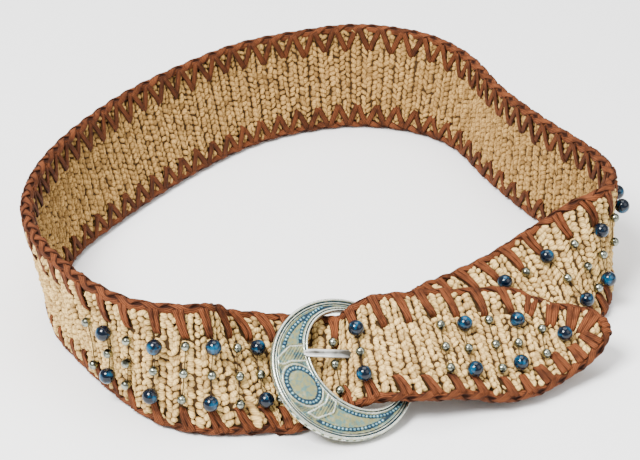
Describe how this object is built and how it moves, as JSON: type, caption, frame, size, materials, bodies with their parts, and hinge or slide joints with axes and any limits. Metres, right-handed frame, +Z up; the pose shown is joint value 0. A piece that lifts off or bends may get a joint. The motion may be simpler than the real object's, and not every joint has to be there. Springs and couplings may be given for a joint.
{
  "type": "western belt",
  "caption": "Crocheted western belt, fastened into a loop, with braided leather edging, rows of glass and metal beads and a round crescent buckle with a prong.",
  "frame": {"origin": "middle of the footprint's bounding box, on the floor", "axes": "+Z up along the standing band's width, -Y towards the buckle and the viewer, +X to the viewer's right"},
  "size_m": [0.3215, 0.3591, 0.0671],
  "materials": {
    "crochet": "matte cream cotton crochet",
    "lacing": "matte reddish brown suede lace",
    "tab": "matte brown leather",
    "blue_glass": "glossy deep blue glass",
    "bead_metal": "darkened polished metal",
    "antique_silver": "antiqued cast silver with a blue-green patina"
  },
  "bodies": {
    "root": {"band": "crochet", "upper_lacing": "lacing", "lower_lacing": "lacing", "glass_bead_01_upper": "blue_glass", "metal_beads_02": "bead_metal", "glass_bead_03_upper": "blue_glass", "metal_bead_03": "bead_metal", "glass_bead_03_lower": "blue_glass", "metal_beads_04": "bead_metal", "glass_bead_05_upper": "blue_glass", "metal_bead_05": "bead_metal", "glass_bead_05_lower": "blue_glass", "metal_beads_06": "bead_metal", "glass_bead_07_upper": "blue_glass", "glass_bead_08_upper": "blue_glass", "metal_beads_09": "bead_metal", "glass_bead_10_upper": "blue_glass", "metal_bead_10": "bead_metal", "glass_bead_10_lower": "blue_glass", "metal_beads_11": "bead_metal", "glass_bead_12_upper": "blue_glass", "metal_bead_12": "bead_metal", "glass_bead_12_lower": "blue_glass", "metal_beads_13": "bead_metal", "glass_bead_14_upper": "blue_glass", "metal_bead_14": "bead_metal", "glass_bead_14_lower": "blue_glass", "metal_beads_15": "bead_metal", "glass_bead_16_upper": "blue_glass", "metal_bead_16": "bead_metal", "glass_bead_16_lower": "blue_glass", "metal_beads_17": "bead_metal", "glass_bead_18_upper": "blue_glass", "metal_bead_18": "bead_metal", "glass_bead_18_lower": "blue_glass", "metal_beads_19": "bead_metal", "metal_beads_20": "bead_metal", "glass_bead_21_upper": "blue_glass", "metal_bead_21": "bead_metal", "glass_bead_21_lower": "blue_glass", "metal_beads_22": "bead_metal", "glass_bead_23_upper": "blue_glass", "metal_bead_23": "bead_metal", "glass_bead_23_lower": "blue_glass", "metal_beads_24": "bead_metal", "glass_bead_25_upper": "blue_glass", "metal_bead_25": "bead_metal", "glass_bead_25_lower": "blue_glass", "metal_beads_26": "bead_metal", "glass_bead_27_upper": "blue_glass", "buckle_ring": "antique_silver", "prong": "antique_silver", "buckle_tab": "tab"}
  },
  "joints": []
}
